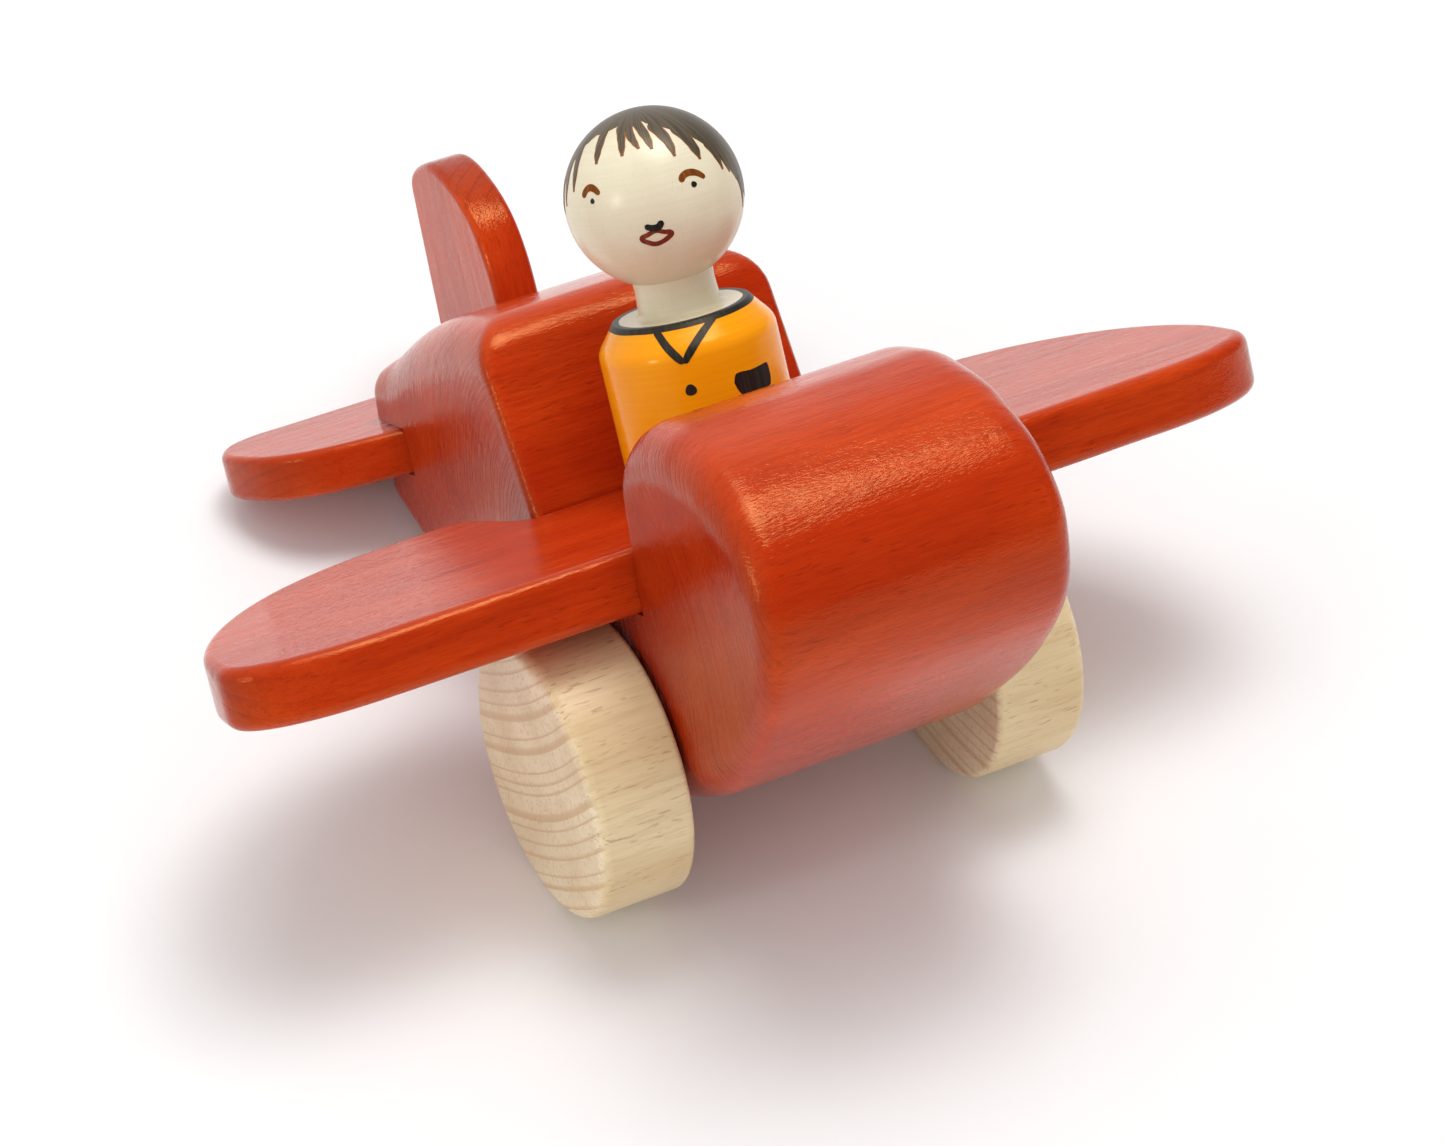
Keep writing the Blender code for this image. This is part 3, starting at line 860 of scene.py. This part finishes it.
def make_axle():
    """The hidden axle, with chamfered ends in the wheels' blind bores."""
    half = AXLE_HIGH[0]
    points = [(0.0, -half, 0.0), (AXLE_RADIUS, -half, 0.8), (AXLE_RADIUS, half, 0.8), (0.0, half, 0.0)]
    axle = turned("axle", profile(points, 3.0), 64, along_x(AXLE_Y, AXLE_Z))
    beech = bare_beech("beech_axle", "X", (AXLE_Y + 30, AXLE_Z + 12), 1.8, 2.0)
    finish_piece(axle, beech, "wheelset", "axle")


def make_peg():
    """The dowel the doll stands on, with rounded ends."""
    low, high = PEG_LOW[2], PEG_HIGH[2]
    points = [(0.0, low, 0.0), (PEG_RADIUS, low, 0.9), (PEG_RADIUS, high, 0.9), (0.0, high, 0.0)]
    peg = turned("pilot_peg", profile(points, 1.5), 72, PEG_AXIS)
    beech = bare_beech("beech_peg", "Z", (22.0, PILOT_Y + 30), 1.6, 2.0)
    finish_piece(peg, beech, "peg", "pilot_peg")


# ---- the doll

def head_points():
    """The ball of the head, down to where it meets the neck."""
    meets = math.pi - math.asin(PILOT_NECK_RADIUS / PILOT_HEAD_RADIUS)
    angles = np.linspace(0.0, meets, 61)
    return np.column_stack((PILOT_HEAD_RADIUS * np.sin(angles),
                            PILOT_HEAD_Z + PILOT_HEAD_RADIUS * np.cos(angles)))


def body_points():
    """Neck, collar, shoulder cone and straight sides, down to the foot."""
    neck_top = float(head_points()[-1, 1])
    hole_radius, hole_top = PEG_RADIUS + GLUE_LINE, PEG_HIGH[2] + GLUE_LINE
    return profile([
        (PILOT_NECK_RADIUS, neck_top, 0.0),
        (PILOT_NECK_RADIUS - 0.1, neck_top - 2.0, SMOOTH),
        (PILOT_NECK_RADIUS + 0.2, PILOT_COLLAR_Z, 1.1),
        (PILOT_COLLAR_RADIUS, PILOT_COLLAR_Z, 0.35),
        (PILOT_RADIUS, PILOT_SHOULDER_Z, 4.2),
        (PILOT_RADIUS, PILOT_LOW[2], 1.0),
        (hole_radius, PILOT_LOW[2], 0.2),
        (hole_radius, hole_top, 0.2),
        (0.0, hole_top, 0.0)], 0.5)


SKIN = np.concatenate((head_points(), body_points()[1:]))
SKIN_RUN = run_along(SKIN)
SKIN_NORMALS = -sides(SKIN, closed=False)


def make_doll():
    """The turned figure: bare varnished wood above the collar's edge, orange below it."""
    doll = turned("pilot", SKIN, 160, PEG_AXIS)
    finish_piece(doll, pale_maple(), "pilot_figure", "pilot")
    doll.data.materials.append(orange_lacquer())
    edge = (PILOT_COLLAR_Z - 0.1) * MM
    for face in doll.data.polygons:
        face.material_index = 1 if (TO_LEVEL @ face.center).z < edge else 0


def at_elevation(degrees):
    """Distance down the doll's side from the crown to this elevation on the head."""
    return PILOT_HEAD_RADIUS * math.radians(90 - degrees)


def at_height(height):
    """Distance down the doll's side from the crown to this height on the shoulders or body."""
    below = SKIN_RUN > at_elevation(-60)
    outside = below & (SKIN_RUN < SKIN_RUN[np.argmin(SKIN[:, 1])])
    return float(np.interp(-height, -SKIN[outside, 1], SKIN_RUN[outside]))


def on_skin(azimuth, run, lift):
    """A point on the doll's surface; azimuth in degrees from the way it faces, run from the crown."""
    radius = np.interp(run, SKIN_RUN, SKIN[:, 0]) + lift * np.interp(run, SKIN_RUN, SKIN_NORMALS[:, 0])
    height = np.interp(run, SKIN_RUN, SKIN[:, 1]) + lift * np.interp(run, SKIN_RUN, SKIN_NORMALS[:, 1])
    angle = np.radians(azimuth + PILOT_FACING)
    return np.stack((radius * np.sin(angle), PILOT_Y - radius * np.cos(angle), height), axis=-1)


def paint_patch(name, grid, material, closed=False, lift=PAINT):
    """A thin closed skin of paint over a grid of (azimuth, run) points on the doll."""
    outer, inner = (on_skin(grid[..., 0], grid[..., 1], height).reshape(-1, 3) for height in (lift, -PAINT))
    under = len(outer)
    index = np.arange(under).reshape(grid.shape[:2])
    if closed:
        index = np.concatenate((index, index[:1]))
    faces = []
    for row, after in zip(index[:-1], index[1:]):
        faces += weave(row, after) + weave(under + after, under + row)
    rims = [index[:, 0], index[:, -1]] + ([] if closed else [index[0], index[-1]])
    for rim in rims:
        faces += weave(rim, under + rim)
    mesh = bpy.data.meshes.new(name)
    mesh.from_pydata([tuple(v) for v in np.concatenate((outer, inner)) * MM], [], faces)
    uv = mesh.uv_layers.new(name="UVMap")
    flat = np.concatenate((grid.reshape(-1, 2),) * 2) / (90.0, 25.0)
    for loop in mesh.loops:
        uv.data[loop.index].uv = flat[loop.vertex_index]
    piece = level_object(name, mesh)
    mesh.materials.append(material)
    soften_shading(piece, 60)
    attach(piece, "pilot_figure")


def weave(first, second):
    """Quads between two rows of point numbers."""
    return np.stack((first[:-1], second[:-1], second[1:], first[1:]), axis=-1).tolist()


def degree_width(run):
    """Millimetres per degree of azimuth at this distance from the crown."""
    return math.radians(1) * max(float(np.interp(run, SKIN_RUN, SKIN[:, 0])), 0.3)


def stroke(name, down, points, material, pointed=False, closed=False, lift=PAINT):
    """A brush stroke through (azimuth, level, width) points, its far end round or pointed.

    down turns a level into the distance from the crown: at_elevation on the head, at_height on the body.
    """
    points = [(azimuth, down(level), width) for azimuth, level, width in points]
    scale = degree_width(points[len(points) // 2][1])
    path = trace([(a * scale, r, w, SMOOTH) for a, r, w in points], 0.18, closed)
    spots, widths = path[:, :2], path[:, 2]
    if not closed:
        run = run_along(spots)
        start, end = round_end(run, widths), round_end(run[-1] - run, widths)
        widths = widths * start if pointed else widths * start * end
    offsets = widths[:, None] * np.linspace(-0.5, 0.5, 5)
    grid = spots[:, None, :] + sides(spots, closed)[:, None, :] * offsets[..., None]
    grid[..., 0] /= scale
    paint_patch(name, grid, material, closed, lift)


def round_end(distance, widths):
    """Share of a stroke's width at this distance from an end shaped as a half circle."""
    near = np.clip(distance / (widths / 2), 0.0, 1.0)
    return np.sqrt(np.maximum(1 - (1 - near) ** 2, 0.02))


def dot(name, azimuth, run, radius, material):
    """A round dab of paint."""
    angles = np.linspace(0, 2 * math.pi, 28, endpoint=False)
    wobble = 1 + 0.06 * np.sin(3 * angles + azimuth)
    reach = radius * wobble[:, None] * np.linspace(0.0, 1.0, 5)
    grid = np.stack((azimuth + np.cos(angles)[:, None] * reach / degree_width(run),
                     run + np.sin(angles)[:, None] * reach), axis=-1)
    paint_patch(name, grid, material, True)


def round_doll(azimuths, runs):
    """Grid of (azimuth, run) with a row of runs at each azimuth."""
    return np.stack((np.repeat(azimuths[:, None], runs.shape[1], axis=1), runs), axis=-1)


def make_hair(material, rim_brown):
    """A painted cap with a ragged fringe of tapering locks."""
    hairline = [(-180, -24), (-135, -22), (-104, -12), (-90, 0), (-80, 16), (-73, 34), (-64, 50),
                (-54, 59), (-44, 60), (-24, 66), (-10, 59), (0, 63), (13, 66), (22, 60), (32, 55),
                (40, 49), (49, 43), (57, 31), (64.5, 17), (72, 4), (80, -6), (96, -14), (130, -22)]
    azimuths = np.arange(-180, 180, 1.0)
    angles = [a for a, _ in hairline] + [180]
    heights = [h for _, h in hairline] + [hairline[0][1]]
    lower = np.interp(azimuths, angles, heights)
    lower += np.array([0.9 * noise.noise(Vector((a / 3.1, 0.0, 4.0))) for a in azimuths])
    runs = PILOT_HEAD_RADIUS * np.radians(90 - lower)[:, None]
    paint_patch("hair_cap", round_doll(azimuths, runs * np.linspace(0.0, 1.0, 30)), material, True)
    rim = round_doll(azimuths, runs + np.linspace(HAIR_RIM_UNDER, HAIR_RIM, 8))
    paint_patch("hair_rim", rim, rim_brown, True, PAINT * 0.6)
    locks = [
        [(-72, 52, 2.6), (-66, 44, 1.9), (-60, 31, 1.2), (-57.5, 19, 0.1)],
        [(-76, 40, 2.0), (-72, 26, 1.4), (-70, 9, 0.1)],
        [(-84, 26, 2.0), (-79.5, 14, 1.2), (-78, 3, 0.1)],
        [(-44, 63, 2.4), (-39.5, 52, 1.7), (-37.7, 44, 1.1), (-36, 36.5, 0.1)],
        [(-20, 67, 2.4), (-15, 55, 1.5), (-13.3, 47, 0.95), (-12.6, 39.5, 0.1)],
        [(-9, 66, 2.2), (-4.5, 54, 1.4), (-1, 48, 0.8), (2, 42.5, 0.1)],
        [(4, 68, 2.4), (9.5, 55, 1.7), (11.7, 47, 1.0), (12.4, 40, 0.1)],
        [(22, 62, 3.6), (26.5, 49, 2.2), (27.8, 40, 1.2), (27.2, 31, 0.1)],
        [(41, 53, 3.0), (45, 41, 2.2), (45.5, 32, 1.6), (44.8, 23.8, 0.1)],
        [(59, 34, 2.2), (60.6, 23, 1.3), (60.2, 12.5, 0.1)],
        [(65, 26, 1.8), (66.2, 17, 1.0), (66.5, 9, 0.1)],
        [(77, 4, 1.6), (79.5, -8, 1.0), (81, -17, 0.1)],
    ]
    for number, lock in enumerate(locks, start=1):
        stroke("hair_lock_%d" % number, at_elevation, lock, material, True, lift=PAINT * 1.5)
        wider = [(azimuth, elevation, width + 2 * HAIR_RIM) for azimuth, elevation, width in lock]
        stroke("hair_lock_rim_%d" % number, at_elevation, wider, rim_brown, True, lift=PAINT * 0.8)


def make_face(brown, black, lip_red):
    """Two brows, two eyes, a nose dab and an outlined mouth, a little uneven as if by hand."""
    left = [(24.6, 14.0, 1.1), (26.6, 17.0, 1.25), (30.1, 18.4, 1.3), (34.4, 18.0, 1.3), (38.1, 16.2, 1.15),
            (42.2, 12.2, 0.9)]
    right = [(-45.8, 15.4, 1.1), (-44.3, 19.0, 1.25), (-41.5, 21.2, 1.3), (-38.4, 21.6, 1.3),
             (-34.6, 19.9, 1.15), (-31.4, 17.0, 0.9)]
    stroke("brow_left", at_elevation, left, brown)
    stroke("brow_right", at_elevation, right, brown)
    dot("eye_left", 32.7, at_elevation(10.5), 0.56, black)
    dot("eye_right", -37.7, at_elevation(13.1), 0.50, black)
    nose = [(-4.6, -6.9, 1.0), (-2.3, -8.6, 1.15), (0.8, -9.6, 1.25), (3.8, -9.3, 1.25),
            (5.6, -7.6, 1.2), (7.1, -6.2, 1.1)]
    stroke("nose", at_elevation, nose, black, lift=PAINT * 2)
    mouth = [(-8.6, -15.3, 0.975), (-4.5, -13.3, 0.91), (1.6, -11.7, 0.78), (6.2, -13.4, 0.845),
             (10.8, -15.3, 1.04), (8.7, -17.7, 0.975), (4.2, -19.8, 0.91), (-0.8, -20.5, 0.975),
             (-5.4, -18.4, 0.975)]
    stroke("mouth", at_elevation, mouth, lip_red, closed=True)


def make_clothes(black):
    """A ring round the collar, two lapels, a button and a breast pocket."""
    rim = at_height(PILOT_COLLAR_Z - 0.35)
    azimuths = np.arange(-180, 180, 2.0)
    uneven = np.array([noise.noise(Vector((a / 24.0, 7.0, 0.0))) for a in azimuths])
    inner = (rim - 1.6 - 0.2 * uneven)[:, None]
    outer = (rim + 0.7 + 0.15 * uneven)[:, None]
    collar = round_doll(azimuths, inner + (outer - inner) * np.linspace(0.0, 1.0, 10))
    paint_patch("collar_ring", collar, black, True)
    right = [(-18.3, 33.1, 1.6), (-14.5, 31.9, 1.5), (-9.0, 30.0, 1.5), (-4.0, 28.3, 1.45), (-0.4, 26.9, 1.1)]
    left = [(31.4, 33.2, 1.2), (24.0, 32.3, 1.3), (15.5, 31.0, 1.45), (7.0, 29.2, 1.45), (-0.2, 26.9, 1.1)]
    stroke("lapel_right", at_height, right, black, lift=PAINT * 1.6)
    stroke("lapel_left", at_height, left, black, lift=PAINT * 2.0)
    dot("button", 0.2, at_height(21.8), 1.05, black)
    upper = [(28.2, 21.2), (29.6, 22.3), (32.5, 22.6), (42.0, 22.3), (53.0, 22.4), (56.6, 22.3), (57.4, 21.6)]
    lower = [(28.2, 20.8), (29.4, 19.6), (31.8, 18.5), (42.0, 18.3), (53.5, 18.1), (56.3, 18.5), (57.6, 20.0)]
    top, foot = pocket_edge(upper), pocket_edge(lower)
    paint_patch("pocket", top + (foot - top) * np.linspace(0.0, 1.0, 7)[:, None], black)


def pocket_edge(spots):
    """28 even steps along one long edge of the pocket, from its (azimuth, height) points."""
    path = trace(smooth(0.0, *[(azimuth, at_height(height)) for azimuth, height in spots]), 0.8, False)
    run = run_along(path[:, :2])
    steps = np.linspace(0.0, run[-1], 28)
    return np.column_stack([np.interp(steps, run, path[:, i]) for i in range(2)])[:, None, :]


# ---- the studio

def make_floor():
    """A plain pale floor with the faintest mottling."""
    half = 3000.0
    corners = [(-half, -half, 0), (half, -half, 0), (half, half, 0), (-half, half, 0)]
    floor = mesh_object("studio_floor", corners, [[0, 1, 2, 3]])
    floor.data.transform(TO_LEVEL)
    material, tree = new_material("pale_floor")
    place = put(tree, "ShaderNodeTexCoord").outputs["Object"]
    mottle = spread(tree, noise_value(tree, place, 14.0, 3.0), 0.3, 0.7)
    colour = blend(tree, mottle, (0.90, 0.90, 0.90), (0.92, 0.92, 0.92))
    floor.data.materials.append(surface(material, colour, 0.7, shine=0.2))


def softbox(name, direction, distance, size, power):
    """A rectangular area light that faces the toy."""
    data = bpy.data.lights.new(name, "AREA")
    data.shape = "RECTANGLE"
    data.size, data.size_y = size
    data.energy = power
    light = add_object(name, data)
    way = Vector(direction).normalized()
    target = Vector((0.0, 0.0, 0.06))
    light.location = target + way * distance
    light.rotation_euler = (-way).to_track_quat("-Z", "Y").to_euler()
    return light


def make_world():
    """A white room: mirrored, it is bright behind and to the left of the toy; as soft light it is even."""
    world = bpy.data.worlds.new("white_room")
    bpy.context.scene.world = world
    world.use_nodes = True
    tree = world.node_tree
    direction = put(tree, "ShaderNodeTexCoord").outputs["Generated"]
    bright_way = Vector((-0.55, 0.80, 0.0)).normalized()
    mirrored_room = spread(tree, facing(tree, direction, tuple(bright_way)), -0.55, 0.55, 0.05, 0.95)
    diffuse = put(tree, "ShaderNodeLightPath").outputs["Is Diffuse Ray"]
    strength = plus(tree, times(tree, mirrored_room, calc(tree, "SUBTRACT", 1.0, diffuse)),
                    times(tree, diffuse, ROOM_FILL))
    back = tree.nodes["Background"]
    feed(tree, back.inputs["Color"], (1.0, 1.0, 1.0))
    feed(tree, back.inputs["Strength"], strength)


def make_camera():
    data = bpy.data.cameras.new("camera")
    data.lens = 113.14
    data.sensor_width = 36.0
    data.clip_start = 0.05
    camera = add_object("camera", data)
    camera.location = (-0.29553, -0.60267, 0.60030)
    camera.rotation_euler = tuple(math.radians(a) for a in (49.024, 0.169, -27.362))
    bpy.context.scene.camera = camera


def make_studio():
    make_floor()
    make_world()
    softbox("overhead_softbox", (0.10, 0.12, 0.97), 1.2, (0.80, 0.60), 5.9)
    softbox("overhead_core", (0.17, 0.11, 0.97), 1.15, (0.36, 0.42), 2.6)
    softbox("left_softbox", (-0.91, -0.19, 0.36), 1.2, (0.17, 0.20), 1.4)
    softbox("right_softbox", (0.68, -0.645, 0.35), 1.4, (0.5, 0.5), 0.08)
    front = softbox("front_fill", (-0.60, -0.74, 0.30), 1.3, (1.2, 0.8), 1.4)
    front.visible_glossy = False
    make_camera()
    bpy.context.scene.view_settings.view_transform = "Standard"


make_block()
make_wing()
make_tailplane()
make_fin()
make_wheel("wheel_left", 1)
make_wheel("wheel_right", -1)
make_axle()
make_peg()
make_doll()
make_hair(paint("hair_paint", (0.032, 0.024, 0.015), (0.13, 0.100, 0.062), 0.36, 0.6, 60.0),
          paint("hair_rim_brown", (0.24, 0.075, 0.018), (0.36, 0.14, 0.045), 0.45))
make_face(paint("brow_brown", (0.16, 0.036, 0.003), (0.25, 0.072, 0.008), 0.5, 0.15),
          paint("eye_black", (0.008, 0.008, 0.009), (0.02, 0.02, 0.02), 0.35),
          paint("lip_red", (0.14, 0.016, 0.008), (0.26, 0.035, 0.014), 0.45))
make_clothes(paint("clothes_black", (0.010, 0.009, 0.008), (0.03, 0.027, 0.022), 0.4))
make_studio()
